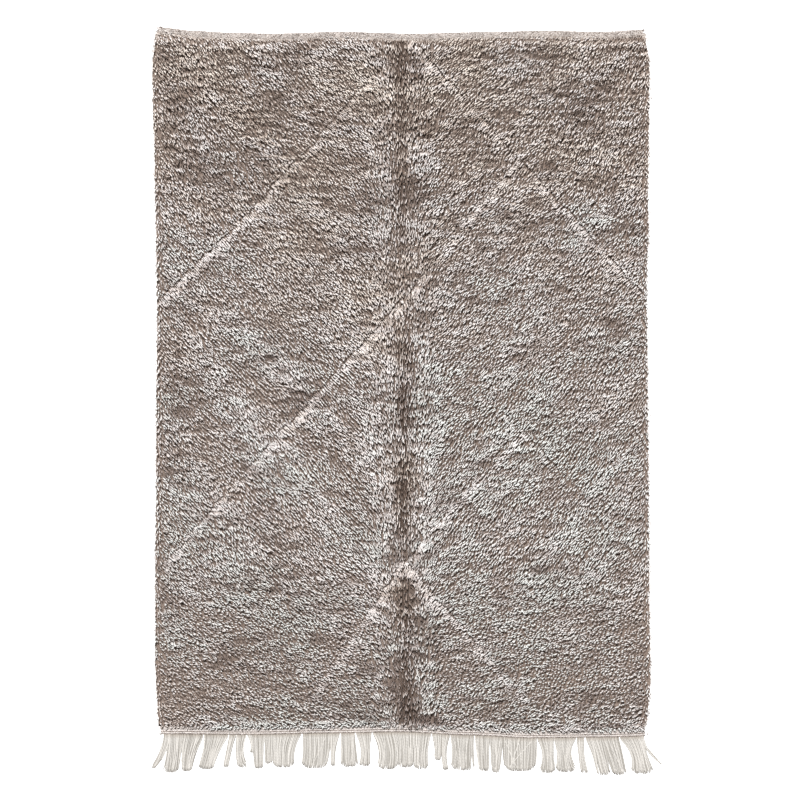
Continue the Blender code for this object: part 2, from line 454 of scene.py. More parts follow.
def knots():
    """The x and y of every knot, and which of them stand in lines."""
    x, along = rows_of_knots()
    x = x + LINE_PITCH * chance.normal(0, LINE_JITTER, len(x))
    y = between(fringed_at(x), plain_at(x), along)
    doubled = (pale_at(x, y) > 0.3) | (y - fringed_at(x) < LAST_ROWS)
    extra = doubled | (chance.random(len(x)) < SHORT_SHARE * (in_the_fold(x, y) < 0.3))
    in_line = np.concatenate([np.full(len(x), True), doubled[extra]])
    x = np.concatenate([x, x[extra] + LINE_PITCH / 2 / np.cos(lean_at(x[extra], y[extra]))])
    y = np.concatenate([y, y[extra] + LINE_PITCH / 2])
    return x, y, in_line


knot_x, knot_y, knot_in_line = knots()
print(f"{len(knot_x)} places for knots")

# %% [markdown]
# ## Which of them hold a tuft
#
# A ray is dropped onto the model at each place. Where the model is as thin as its woven bands there
# is no pile. Elsewhere the height that the ray meets is the height of the tuft's tip, so the pile
# follows the model's grooves and its rounded edges.

# %% The height of the pile at each knot
THINNEST_PILE = 6.0 * MM    # the model is thinner than this only where it is bare
LOWEST_TIP = 10 * MM
BARE_END = 21 * MM          # woven band at the fringed end
SPREAD_OUT = 1.005          # the outermost tufts hang a few millimetres over the side cords
surface = BVHTree.FromPolygons([v.co for v in model.vertices], [p.vertices for p in model.polygons])


def height_at(x, y):
    """How high the model stands at many points, and 0 beside it."""
    heights = np.zeros(len(x))
    for index, (a, b) in enumerate(zip(x, y)):
        hit = surface.ray_cast((a, b, 1.0), (0, 0, -1))[0]
        heights[index] = hit.z if hit else 0
    return heights


def holds_a_tuft(x, y, height):
    """True on the pile, false on the woven bands and at the two corners of the fringed end."""
    from_fringed, from_plain = y - fringed_at(x), plain_at(x) - y
    in_corner = (x < -0.79) & (y > 1.24) & (from_plain > 5 * MM)
    between = (from_fringed > 24 * MM) & (from_plain > 24 * MM)
    half_width = np.minimum(-left_at(y), right_at(y))
    in_low_corner = (from_fringed < 45 * MM) & (np.abs(x) > half_width - 9 * MM)
    return ((height > THINNEST_PILE) | in_corner | between) & (from_fringed > BARE_END) & ~in_low_corner


knot_height = height_at(knot_x, knot_y)
tufted = holds_a_tuft(knot_x, knot_y, knot_height)
knot_x, knot_y, knot_in_line = knot_x[tufted] * SPREAD_OUT, knot_y[tufted], knot_in_line[tufted]
knot_height = np.maximum(knot_height[tufted], LOWEST_TIP)
print(f"{len(knot_x)} knots")

# %% [markdown]
# ## How each tuft lies
#
# A tuft follows the lean of the pile, with a little of its own. Near the fringed end the last rows
# are shorter and turned the other way, because nothing below them holds them, and along the sides
# the tufts lie straight and short. In the fold they are pressed flat and reach further.

# %% Places that change how a tuft lies
side_room = np.minimum(knot_x - left_at(knot_y), right_at(knot_y) - knot_x)
fold = in_the_fold(knot_x, knot_y)
low_end = near_fringe(knot_y)
turned = chance.random(len(knot_x)) < soft_step(40 * MM, 28 * MM, knot_y - fringed_at(knot_x))
at_side = soft_step(20 * MM, 4 * MM, side_room)
first_rows = soft_step(36 * MM, 16 * MM, plain_at(knot_x) - knot_y)
print(f"{turned.sum()} tufts of the last rows are turned the other way")

# %% Direction, reach and height of each tuft
LONG_REACH, SHORT_REACH = 15.5 * MM, 11 * MM        # from the knot to the tip, seen from above
YARN_RADIUS = 1.98 * MM


def leaning():
    """Direction of the tufts as an angle in the plane, and how far their tips reach sideways."""
    lean = lean_at(knot_x, knot_y)
    lean = lean * np.where(turned, -0.9, 1) * (1 - at_side)
    lean = lean + chance.normal(0, 0.20, len(lean)) * (1 + 0.7 * low_end)
    reach = np.where(knot_in_line, LONG_REACH, SHORT_REACH) * (1 - 0.2 * low_end) + 6 * MM * fold
    reach = reach * (1 - 0.35 * at_side) * (1 - 0.5 * first_rows) * np.where(turned, 0.65, 1)
    reach *= 1 + 0.25 * cloud(knot_x, knot_y, 0.045, 0.016, 3.5)
    return lean - np.pi / 2, reach * np.clip(chance.normal(1, 0.24, len(lean)), 0.45, 1.8)


knot_angle, knot_reach = leaning()
knot_tip = knot_height * np.where(knot_in_line, 0.96, 0.66) * chance.normal(1, 0.05, len(knot_x))
knot_tip *= 0.90 + 0.10 * np.clip(knot_reach / LONG_REACH, 0.4, 1.6)
yarn = YARN_RADIUS * chance.normal(1, 0.10, len(knot_x))
print(f"the tufts reach {knot_reach.mean() / MM:.0f} mm sideways and {knot_tip.mean() / MM:.0f} mm up")

# %% [markdown]
# ## The tone of each tuft
#
# The yarn is spun from ivory and brown-grey wool that were never mixed evenly. Each tuft gets a tone from
# 0, dark, to 1, ivory. Flat clouds make streaks along the rows: in some the pile has opened, and its tufts
# and more of their feet are painted darker, as painted shade; in others it is closed, and its tufts are
# painted paler, as painted light. A short table lists the few places that are plainly darker or lighter. A
# second number says how warm the wool is: silvery where it was washed palest, mauve grey in most places,
# and browner in the fold and in opened pile, as painted shade.

# %% Places that are darker or lighter than the rest
Patch = namedtuple("Patch", "x y reach_x reach_y tone warm")
PATCHES = [
    Patch(-0.79, 1.06, 0.07, 0.20, -0.15, 0.0), Patch(-0.73, 1.06, 0.07, 0.03, -0.14, 0.2),
    Patch(-0.58, 0.98, 0.08, 0.03, -0.16, 0.2), Patch(-0.48, 0.93, 0.07, 0.03, -0.14, 0.2),
    Patch(-0.25, 0.84, 0.20, 0.07, -0.14, 0.3), Patch(0.10, 0.92, 0.05, 0.04, -0.14, 0.2),
    Patch(0.01, 0.83, 0.03, 0.07, -0.14, 0.2), Patch(0.16, 0.61, 0.07, 0.025, -0.16, 0.2),
    Patch(0.70, 1.00, 0.14, 0.16, -0.12, 0.0), Patch(-0.80, 0.25, 0.05, 0.45, -0.10, 0.0),
    Patch(-0.55, 0.335, 0.15, 0.012, -0.14, 0.0), Patch(0.52, 0.355, 0.14, 0.016, -0.20, 0.1),
    Patch(0.11, 0.34, 0.03, 0.03, -0.12, 0.1), Patch(0.66, -0.107, 0.19, 0.013, -0.25, 0.0),
    Patch(0.43, -0.10, 0.03, 0.015, -0.20, 0.0), Patch(0.24, -0.36, 0.07, 0.03, -0.16, 0.1),
    Patch(0.52, -1.045, 0.06, 0.025, -0.25, 0.1), Patch(-0.09, -1.00, 0.06, 0.10, -0.10, 0.2),
    Patch(0.0, -0.66, 0.07, 0.10, -0.12, 0.4), Patch(0.22, 1.18, 0.05, 0.05, -0.10, 0.1),
    Patch(0.13, 0.80, 0.04, 0.05, 0.16, 0.0), Patch(0.11, 1.10, 0.04, 0.08, 0.10, 0.1),
    Patch(-0.33, 1.06, 0.09, 0.09, 0.07, 0.0), Patch(0.55, 0.855, 0.06, 0.02, 0.14, 0.0),
    Patch(-0.012, 0.33, 0.035, 0.022, 0.25, 0.0), Patch(0.62, -0.245, 0.06, 0.05, 0.18, -0.3),
    Patch(0.43, -0.05, 0.10, 0.03, 0.12, -0.2), Patch(-0.31, -0.245, 0.12, 0.03, 0.10, -0.2),
    Patch(-0.73, -0.47, 0.05, 0.05, 0.10, -0.2), Patch(0.60, -0.65, 0.08, 0.03, 0.14, -0.2),
    Patch(0.14, -0.93, 0.07, 0.05, 0.10, -0.1), Patch(-0.20, 0.40, 0.25, 0.20, 0.0, 0.2),
    Patch(0.45, -0.07, 0.35, 0.35, 0.24, -0.3), Patch(-0.45, -0.70, 0.35, 0.35, -0.03, -0.1),
    Patch(0.50, -0.80, 0.30, 0.35, 0.15, -0.1), Patch(0.45, 0.70, 0.30, 0.40, 0.04, 0.0),
    Patch(-0.06, -0.10, 0.06, 0.30, -0.10, 0.1)]
PATCH_STRENGTH = 1.25       # of the tones in the table
print(f"{sum(patch.tone > 0 for patch in PATCHES)} of {len(PATCHES)} patches are lighter than the rest")

# %% Tone and warmth of each tuft
Shade = namedtuple("Shade", "y tone")       # slow changes along the rug
SHADES = [Shade(-1.20, -0.05), Shade(-0.90, -0.03), Shade(-0.45, 0.0), Shade(-0.22, 0.05),
          Shade(0.05, 0.0), Shade(0.50, 0.02), Shade(0.75, -0.09), Shade(1.20, -0.11)]


def tones(x, y):
    """A tone for each tuft, how warm it is, and how far the pile has opened around it."""
    mottle = 0.8 * cloud(x, y, 0.070, 0.016, 11.5) + 0.9 * cloud(x, y, 0.050, 0.0080, 12.5)
    right_half = soft_step(-0.05, 0.10, x - crease_at(y))
    mottle = mottle * (1.0 + 0.42 * low_end + 0.32 * right_half)
    opened = soft_step(0.10, 0.75, mottle)
    closed = soft_step(0.10, 0.80, -mottle)
    # Painted shade and light: tufts are painted darker where the pile has opened and paler where it is
    # closed.
    tone = 0.835 - 0.24 * opened + (0.09 + 0.06 * low_end) * closed
    tone += 0.16 * cloud(x, y, 0.20, 0.06, 13.5) + 0.12 * cloud(x, y, 0.10, 0.09, 14.5)
    tone += read_off(SHADES, "tone", y)
    # The thin streaks are batches of yarn; the fold and a band beside the crease are painted darker, as
    # painted shade.
    tone += 0.19 * (1 + 0.5 * right_half) * cloud(x, y, 0.060, 0.0070, 15.5) - 0.24 * fold
    tone -= 0.10 * soft_step(0.17, 0.04, np.abs(x - crease_at(y)))
    warm = 0.50 + 0.25 * cloud(x, y, 0.20, 0.16, 21.5) + 0.25 * soft_step(0.35, 1.0, y)
    # Painted shade: the wool is painted browner in the fold and in opened pile.
    warm += 0.4 * fold + 0.15 * opened - 0.25 * closed - 0.12 * soft_step(0.2, -0.5, y)
    for patch in PATCHES:
        there = spot(x, y, patch.x, patch.y, patch.reach_x, patch.reach_y)
        tone += PATCH_STRENGTH * patch.tone * there
        warm += patch.warm * there
    return tone, np.clip(warm, 0, 1), opened


knot_tone, knot_warm, opened = tones(knot_x, knot_y)
# Painted shade: the short tufts under the lines get a darker tone, more so in the fold; turned and side
# tufts are paler.
knot_tone = knot_tone + 0.26 * turned + 0.22 * at_side - (0.20 + 0.40 * fold) * ~knot_in_line
knot_tip *= 1 - 0.12 * opened
yarn *= 1.04 - 0.24 * opened
yarn *= 1 - 0.18 * fold
spread = 0.12 + 0.10 * fold     # how far one tuft's tone may differ from the next one's
bare = np.maximum(np.maximum(0.9 * turned, 0.3 * first_rows), 0.8 * at_side)    # lit down to the foot
print(f"the pile has opened around {(opened > 0.5).mean():.0%} of the tufts")

# %% [markdown]
# ## Pressing in the pattern
#
# The tables say where the lines are, and here the tufts obey them. Above a line the tufts are cut
# back so that their tips end on it. Below it they are pressed down, turned straight away from the
# line and made one even tone. A line that runs the way the pile leans cannot bank it up, so it
# shows only as a narrower, slightly paler parting. The tufts keep their numbers in arrays, one
# number for each tuft, so a groove changes all of them at once.


# %% The grooves' banks and pale bands
BAND_TONE, BAND_WARMTH = 0.64, 0.75
PARTING_EXTRA = 0.14        # how much paler a line is that runs with the pile
LEAST_REACH = 4 * MM


def hold_back(chosen, room):
    """Shortens the chosen tufts to the room that they have."""
    held = np.minimum(knot_reach, np.maximum(room, LEAST_REACH))
    knot_reach[:] = np.where(chosen, held, knot_reach)


def press_groove(groove):
    """Bares and brightens the tufts below a groove, and ends those above it where it is shaded."""
    away, strength, shaded, down = measured_from(groove, knot_x, knot_y)
    facing = np.cos(knot_angle) * down.x + np.sin(knot_angle) * down.y
    banked = soft_step(0.15, 0.75, facing)
    band = PALE_BAND * (0.60 + 0.40 * banked)
    pale = strength * across_the_band(away, band)
    turn = (math.atan2(down.y, down.x) - knot_angle + np.pi) % (2 * np.pi) - np.pi
    knot_angle[:] += turn * pale * 0.6 * banked
    knot_tip[:] *= 1 - 0.30 * pale * soft_step(band, 0, away)
    knot_tone[:] += (BAND_TONE + PARTING_EXTRA * (1 - banked) - knot_tone) * pale * 0.95
    knot_warm[:] += (BAND_WARMTH - knot_warm) * pale * 0.6
    spread[:] *= 1 - 0.8 * pale
    yarn[:] *= 1 + 0.25 * pale
    bare[:] = np.maximum(bare, pale)
    banked_up = (strength * banked > 0.30) & (away <= -9 * MM) & (away > -knot_reach)
    hold_back(banked_up, -away - 5 * MM * (1 + shaded))
    # Painted shadow: besides being lower, the tufts just above a shaded line are painted darker.
    shadow = shaded * np.maximum(banked, 0.5) * np.exp(-((away + 11 * MM) / SHADOW_LINE) ** 2)
    knot_tone[:] -= 0.4 * shadow
    knot_tip[:] *= 1 - 0.5 * shadow


for groove in GROOVES:
    press_groove(groove)
print(f"{(bare > 0.5).sum()} tufts lie bare")

# %% Short partings along the rows
Parting = namedtuple("Parting", "left right y")
PARTINGS = [
    Parting(-0.357, -0.212, 0.776), Parting(0.505, 0.691, 0.817), Parting(0.771, 0.843, 0.810),
    Parting(0.271, 0.416, 0.776), Parting(0.712, 0.843, 0.776), Parting(-0.757, -0.691, 0.300),
    Parting(-0.616, -0.481, 0.283), Parting(-0.519, -0.353, 0.155), Parting(-0.691, -0.567, 0.017),
    Parting(0.460, 0.750, -0.117), Parting(0.357, 0.553, -0.466), Parting(-0.540, -0.426, -0.576),
    Parting(-0.678, -0.616, -0.607), Parting(-0.529, -0.433, -0.648), Parting(0.557, 0.671, -1.028)]
PARTING_WIDTH = 6 * MM


def open_parting(parting):
    """Opens the pile along a short stretch of a row, down to the dark feet of the tufts, and paints the
    tufts there darker, as painted shade.
    """
    middle, half = (parting.left + parting.right) / 2, (parting.right - parting.left) / 2
    share = soft_step(half + 8 * MM, half - 8 * MM, np.abs(knot_x - middle))
    above = knot_y - parting.y - 2.5 * MM * np.sin(knot_x * 60 + parting.y * 9)
    broken = soft_step(-0.5, 0.3, cloud(knot_x, knot_y, 0.022, 0.05, 41.5))
    in_it = share * broken * np.exp(-(above / PARTING_WIDTH) ** 2)
    # Painted shade in the parting.
    knot_tone[:] -= 0.25 * in_it
    knot_tip[:] *= 1 - 0.25 * in_it
    rows_above = (share * broken > 0.4) & (above > 0) & (above < knot_reach)
    hold_back(rows_above, above + 5 * MM)


for parting in PARTINGS:
    open_parting(parting)
knot_tone = np.clip(knot_tone + chance.normal(0, 1, len(knot_x)) * spread, 0, 1)
print(f"tones from {knot_tone.min():.2f} to {knot_tone.max():.2f}, mean {knot_tone.mean():.2f}")

# %% [markdown]
# ## One tuft, and then all of them
#
# A tuft is a short length of yarn, about 4 mm thick, that rises from its knot and bends over. Hair
# particles could draw it, but they would be lost when the rug is handed on as a model. Each tuft is a
# small closed mesh: a triangle with another one above it, drawn together at the foot and at the tip.
# Operators make one straight tuft. Its points are then carried along every tuft's own curve at once with
# arrays, because a loop over tens of thousands of objects would be slow.


# %% Straight templates with a flat map
def raise_ring(shape, ring, height, scale):
    """Extrudes a ring of edges to a height and scales it, and returns the new ring."""
    grown = bmesh.ops.extrude_edge_only(shape, edges=ring)["geom"]
    points = [item for item in grown if isinstance(item, bmesh.types.BMVert)]
    bmesh.ops.scale(shape, vec=(scale, scale, 1), verts=points)
    for point in points:
        point.co.z = height
    return [item for item in grown if isinstance(item, bmesh.types.BMEdge)]


def lay_out(shape):
    """Triangles, with a flat map: round the yarn across, along it upwards, end caps in a corner."""
    bmesh.ops.triangulate(shape, faces=shape.faces)
    bmesh.ops.recalc_face_normals(shape, faces=shape.faces)
    layer = shape.loops.layers.uv.new("yarn")
    for face in shape.faces:
        middle = face.calc_center_median()
        is_cap = abs(face.normal.z) > 0.99
        facing = math.atan2(middle.y, middle.x)
        for loop in face.loops:
            point = loop.vert.co
            off = math.atan2(point.y, point.x) - facing if point.xy.length > 1e-6 else 0
            off = (off + math.pi) % (2 * math.pi) - math.pi
            if is_cap:
                loop[layer].uv = (0.1 + 0.05 * point.x + 0.2 * point.z, 0.06 + 0.05 * point.y)
            else:
                loop[layer].uv = (0.5 + (facing + off) / (2 * math.pi), 0.12 + 0.88 * point.z)
    return shape


LOWER_RING, UPPER_RING = 0.38, 0.86     # as shares of the tuft's length


def straight_tuft():
    """A three-sided tuft from z 0 to 1, drawn together at its foot and at its tip."""
    tuft = bmesh.new()
    bmesh.ops.create_circle(tuft, segments=3, radius=1)
    lower = list(tuft.edges)
    bmesh.ops.translate(tuft, vec=(0, 0, LOWER_RING), verts=tuft.verts)
    raise_ring(tuft, lower, 0.0, 0.0)
    upper = raise_ring(tuft, lower, UPPER_RING, 0.9)
    raise_ring(tuft, upper, 1.0, 0.0)
    bmesh.ops.remove_doubles(tuft, verts=tuft.verts, dist=1e-5)
    return lay_out(tuft)


tuft = straight_tuft()
print(f"one tuft has {len(tuft.verts)} points and {len(tuft.faces)} faces")


# %% One mesh from many copies
def points_of(template):
    """The points of a bmesh, as an array."""
    return np.array([point.co for point in template.verts])


def repeated(name, template, places, fields):
    """One mesh from many copies of a template: places is copies by points by three.

    Each field is a number for every copy, or for every point. The map "yarn" repeats on every copy,
    and the map "OFBake" gives each copy a square cell of its own, for baking.
    """
    copies, corners = places.shape[:2]
    faces = np.array([[v.index for v in face.verts] for face in template.faces])
    faces = faces[None] + (np.arange(copies) * corners)[:, None, None]
    mesh = bpy.data.meshes.new(name)
    mesh.from_pydata(places.reshape(-1, 3), [], faces.reshape(-1, 3))
    mesh.shade_smooth()
    for field, values in fields.items():
        values = np.broadcast_to(values, (copies, corners)).astype(np.float32)
        mesh.attributes.new(field, "FLOAT", "POINT").data.foreach_set("value", values.ravel())
    layer = template.loops.layers.uv["yarn"]
    flat = np.array([loop[layer].uv for face in template.faces for loop in face.loops])
    columns = math.ceil(math.sqrt(copies))
    cell = np.arange(copies)
    corner = np.stack([cell % columns, cell // columns], axis=1)[:, None]
    in_cells = (corner + 0.04 + 0.92 * flat[None]) / columns
    mesh.uv_layers.new(name="yarn").data.foreach_set("uv", np.tile(flat, (copies, 1)).ravel())
    mesh.uv_layers.new(name="OFBake").data.foreach_set("uv", in_cells.ravel())
    return add_object(name, mesh)


# %% Bending the tufts
OUT_BEND, UP_BEND = 1.25, 3.5       # a tuft rises fast at first and then bends over
FOOT = 2.5 * MM                     # the height of the knots


def bent_tufts(chosen, foot):
    """The points of the chosen tufts, and how far along its tuft each point is."""
    x, y, tip = knot_x[chosen], knot_y[chosen], knot_tip[chosen]
    shape = points_of(tuft)
    t = shape[:, 2]
    rise = (tip - foot)[:, None]
    reach = knot_reach[chosen][:, None]
    out, up = reach * t ** OUT_BEND, foot + rise * (1 - (1 - t) ** UP_BEND)
    out_step = reach * OUT_BEND * t ** (OUT_BEND - 1)
    up_step = rise * UP_BEND * (1 - t) ** (UP_BEND - 1) + 1e-6
    steep = np.hypot(out_step, up_step)
    spin = np.arctan2(shape[:, 1], shape[:, 0]) + chance.uniform(0, 2 * np.pi, len(x))[:, None]
    wide = np.hypot(shape[:, 0], shape[:, 1]) * yarn[chosen][:, None]
    sideways, inwards = wide * np.cos(spin), wide * np.sin(spin)
    ahead, left = np.cos(knot_angle[chosen])[:, None], np.sin(knot_angle[chosen])[:, None]
    forward = out - inwards * up_step / steep
    points = np.stack([
        x[:, None] + ahead * forward - left * sideways,
        y[:, None] + left * forward + ahead * sideways,
        up + inwards * out_step / steep], axis=2)
    return points, np.broadcast_to(t, up.shape)


print(f"the tufts start {FOOT / MM} mm up, and the longest reach {knot_reach.max() / MM:.0f} mm")


# %% [markdown]
# ## The wool
#
# One material serves the whole pile. It reads numbers that each tuft carries: its tone, how warm it is,
# and how far along the tuft a point lies. A colour ramp turns the tone into a colour, and a second one
# tints it. The foot of a tuft is painted dark, as painted shade between the tufts, and its tip is the
# palest. Fine noise breaks the yarn into fibres, and a wave that runs round the tuft twists it. The weft
# of the woven ends is paler wool, so it gets the same nodes with a paler ramp.


# %% Node helpers
class Nodes:
    """A new material, with short ways to add the nodes that this rug needs."""

    def __init__(self, name):
        self.material = bpy.data.materials.new(name)
        self.material.use_nodes = True
        self.shader = shader_of(self.material)
        self.new = self.material.node_tree.nodes.new
        self.link = self.material.node_tree.links.new

    def ramp(self, value, stops):
        """Turns a number into a colour: stops are pairs of a place and a colour."""
        node = self.new("ShaderNodeValToRGB")
        while len(node.color_ramp.elements) < len(stops):
            node.color_ramp.elements.new(0.5)
        for element, (place, colour) in zip(node.color_ramp.elements, stops):
            element.position = place
            element.color = (*colour, 1)
        self.link(value, node.inputs["Fac"])
        return node.outputs["Color"]

    def field(self, name):
        """A number that each point of the piece carries."""
        node = self.new("ShaderNodeAttribute")
        node.attribute_name = name
        return node.outputs["Fac"]

    def multiply(self, first, second):
        """Two colours multiplied."""
        node = self.new("ShaderNodeMix")
        node.data_type = "RGBA"
        node.blend_type = "MULTIPLY"
        node.inputs["Factor"].default_value = 1
        self.link(first, node.inputs[6])
        self.link(second, node.inputs[7])
        return node.outputs[2]

    def fibres(self, scale, detail):
        """Fine noise in the piece's own space."""
        node = self.new("ShaderNodeTexNoise")
        set_inputs(node, {"Scale": scale, "Detail": detail})
        self.link(self.new("ShaderNodeTexCoord").outputs["Object"], node.inputs["Vector"])
        return node.outputs["Fac"]

    def twist(self, turns):
        """A wave that winds round a yarn as its plies do, started anew on every yarn."""
        flat = self.new("ShaderNodeUVMap")
        flat.uv_map = "yarn"
        slope = self.new("ShaderNodeMapping")
        slope.inputs["Scale"].default_value = (2, turns, 1)
        self.link(flat.outputs["UV"], slope.inputs["Vector"])
        wave = self.new("ShaderNodeTexWave")
        wave.bands_direction = "DIAGONAL"
        set_inputs(wave, {"Scale": 0.314, "Distortion": 0.4})
        start = self.new("ShaderNodeMath")
        start.operation = "MULTIPLY"
        start.inputs[1].default_value = 60
        self.link(self.field("tone"), start.inputs[0])
        self.link(start.outputs["Value"], wave.inputs["Phase Offset"])
        self.link(slope.outputs["Vector"], wave.inputs["Vector"])
        return wave.outputs["Fac"]

    def bump(self, *heights):
        """Bumps stacked on each other: pairs of a height and how deep it is, in metres."""
        for height, depth in heights:
            node = self.new("ShaderNodeBump")
            node.inputs["Distance"].default_value = depth
            self.link(height, node.inputs["Height"])
            if self.shader.inputs["Normal"].is_linked:
                self.link(self.shader.inputs["Normal"].links[0].from_socket, node.inputs["Normal"])
            self.link(node.outputs["Normal"], self.shader.inputs["Normal"])

    def finish(self, colour, roughness, sheen):
        """Sets the colour and the dull, slightly hairy surface of wool."""
        self.link(colour, self.shader.inputs["Base Color"])
        set_inputs(self.shader, {"Roughness": roughness, "Specular IOR Level": 0.2,
                                 "Sheen Weight": sheen, "Sheen Roughness": 0.5})
        return self.material


# %% Pile material
WOOL_TONES = [(0.0, (0.125, 0.088, 0.070)), (0.35, (0.26, 0.214, 0.191)),
              (0.70, (0.60, 0.564, 0.543)), (1.0, (0.67, 0.646, 0.628))]
BAND_TONES = [(0.0, (0.15, 0.11, 0.09)), (0.35, (0.34, 0.287, 0.258)),
              (0.70, (0.68, 0.637, 0.605)), (1.0, (0.84, 0.805, 0.775))]
WOOL_TINTS = [(0.0, (0.965, 1.02, 1.02)), (0.5, (1.0, 0.985, 0.998)), (1.0, (1.035, 0.975, 0.90))]
# Painted shade along each tuft: dark at the foot, full colour from 0.6 of its length up.
PAINTED_SHADE_ALONG_THE_TUFT = [(0.0, (0.30, 0.259, 0.238)), (0.28, (0.48, 0.43, 0.405)),
                  (0.45, (0.76, 0.72, 0.70)), (0.60, (1.0, 1.0, 1.0))]


def wool_yarn(name, tones_of_wool):
    """The material of a dull woollen yarn, whose colour each copy's own numbers choose."""
    nodes = Nodes(name)
    colour = nodes.ramp(nodes.field("tone"), tones_of_wool)
    colour = nodes.multiply(colour, nodes.ramp(nodes.field("warm"), WOOL_TINTS))
    # Painted shade at the foot of every tuft.
    colour = nodes.multiply(colour, nodes.ramp(nodes.field("along"), PAINTED_SHADE_ALONG_THE_TUFT))
    fibres = nodes.fibres(620, 2)
    flecks = nodes.ramp(fibres, [(0.25, (0.86, 0.86, 0.86)), (0.75, (1.12, 1.12, 1.12))])
    nodes.bump((nodes.twist(5), 0.5 * MM), (fibres, 0.6 * MM))
    return nodes.finish(nodes.multiply(colour, flecks), roughness=0.88, sheen=0.2)


wool = wool_yarn("pile_wool", WOOL_TONES)
band_wool = wool_yarn("band_wool", BAND_TONES)
print(f"the wool has {len(wool.node_tree.nodes)} nodes")

# %% The pile, in lengthwise strips
STRIPS = 5                  # so that no piece grows too heavy
# shade: how far up each tuft the painted shade at its foot reaches, higher in opened pile, in the fold and
# near the fringe.
shade = 1 + 0.8 * opened + 0.5 * fold + 0.3 * low_end       # how far up the darkness reaches


def finish_piece(piece, material):
    """Gives a piece its material, and lets it ride with the rug."""
    piece.data.materials.append(material)
    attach(piece, "root")
    return piece


def pile_strip(strip):
    """All the tufts of one lengthwise strip."""
    mine = np.floor((knot_x - rug_low.x) / rug_width * STRIPS) == strip
    places, along = bent_tufts(mine, FOOT)
    lit = np.maximum(along ** shade[mine][:, None], 0.8 * bare[mine][:, None])
    piece = repeated(f"pile_{strip + 1}", tuft, places, {
        "along": lit, "tone": knot_tone[mine][:, None], "warm": knot_warm[mine][:, None]})
    return finish_piece(piece, wool)


pile = [pile_strip(strip) for strip in range(STRIPS)]
print(f"{sum(len(piece.data.polygons) for piece in pile)} faces in {len(pile)} strips of pile")

# %% [markdown]
# ## The ground cloth
#
# Under the pile lies the woven cloth that holds the knots. It shows at both ends, where the weaver left a
# narrow band without knots, and on the whole underside. It is one thin sheet on the outline, a grid whose
# rows follow the ends. Its upper face carries a number that darkens it under the pile with painted shade,
# most of all in the fold, where one can look down between the tufts.

# %% Ground cloth
GROUND_THICKNESS = 3.2 * MM
PAST_THE_OUTLINE = 1 * MM   # on each side, under the side cords
BAND_SHARE = 0.0095         # of the rug's length, at each end, that has no pile
CLOTH_COLUMNS = 96
CLOTH_ROWS = [0, BAND_SHARE, 0.012, *np.linspace(0.04, 0.96, 32), 0.988, 1 - BAND_SHARE, 1]


def ground_cloth():
    """A thin sheet on the rug's outline, with its lower face on the floor."""
    sheet = bmesh.new()
    bmesh.ops.create_grid(sheet, x_segments=CLOTH_COLUMNS, y_segments=len(CLOTH_ROWS) - 1, size=0.5)
    painted_shade_under_pile = sheet.verts.layers.float.new("painted_shade_under_pile")
    even = np.linspace(0, 1, len(CLOTH_ROWS))
    for point in sheet.verts:
        across, along = point.co.x + 0.5, float(np.interp(point.co.y + 0.5, even, CLOTH_ROWS))
        hidden = BAND_SHARE + 1e-4 < along < 1 - BAND_SHARE - 1e-4
        y = rug_low.y + rug_length * along
        x = left_at(y) - PAST_THE_OUTLINE + (right_at(y) - left_at(y) + 2 * PAST_THE_OUTLINE) * across
        # Painted shade: 0.5 under the pile and up to 1 in the fold, 0 on the bare bands.
        point[painted_shade_under_pile] = 0.5 + 0.5 * float(in_the_fold(x, y)) if hidden else 0.0
        point.co = (x, between(fringed_at(x), plain_at(x), along), GROUND_THICKNESS)
    lower = bmesh.ops.extrude_face_region(sheet, geom=sheet.faces[:], use_keep_orig=True)["geom"]
    for item in lower:
        if isinstance(item, bmesh.types.BMVert):
            item.co.z = 0.0
            item[painted_shade_under_pile] = 0.0
    bmesh.ops.recalc_face_normals(sheet, faces=sheet.faces)
    return sheet


# %% The cloth's weave
def woven_wool():
    """The back of the knots: a row of small bumps for each row of knots, darkened under the pile by
    painted shade.
    """
    nodes = Nodes("woven_wool")
    bricks = nodes.new("ShaderNodeTexBrick")
    set_inputs(bricks, {
        "Color1": (0.34, 0.29, 0.26, 1), "Color2": (0.62, 0.56, 0.51, 1),
        "Mortar": (0.16, 0.12, 0.10, 1), "Mortar Size": 0.5 * MM, "Mortar Smooth": 1,
        "Scale": 1, "Brick Width": 4.3 * MM, "Row Height": 3.4 * MM})
    nodes.link(nodes.new("ShaderNodeTexCoord").outputs["Object"], bricks.inputs["Vector"])
    fibres = nodes.fibres(500, 3)
    flecks = nodes.ramp(fibres, [(0.25, (0.8, 0.8, 0.8)), (0.75, (1.15, 1.15, 1.15))])
    # Painted shade under the pile, darkest in the fold.
    shade = nodes.ramp(nodes.field("painted_shade_under_pile"), [
        (0.0, (1, 1, 1)), (0.5, (0.50, 0.43, 0.39)), (0.9, (0.16, 0.115, 0.09))])
    nodes.bump((bricks.outputs["Fac"], -1.5 * MM), (fibres, 0.6 * MM))
    wool_colour = nodes.multiply(nodes.multiply(bricks.outputs["Color"], flecks), shade)
    return nodes.finish(wool_colour, roughness=0.9, sheen=0.15)


ground = finish_piece(object_from("ground_cloth", ground_cloth()), woven_wool())
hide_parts("rug")
print(f"the ground cloth has {len(ground.data.polygons)} faces")

# %% [markdown]
# ## The woven ends and the sides
#
# At each end a few rows of weft were woven without knots, and packed down until only the weft
# shows. From above each pass of the weft is a row of small ovals, one for every warp that it
# crosses. Two twined cords, light and dark, lock the fringed end. So both ends are rows of one
# small bead, stretched and slanted by a table. Along the sides the weft turns round an outer cord,
# which is one long tube, and at two corners its dark ends are knotted.

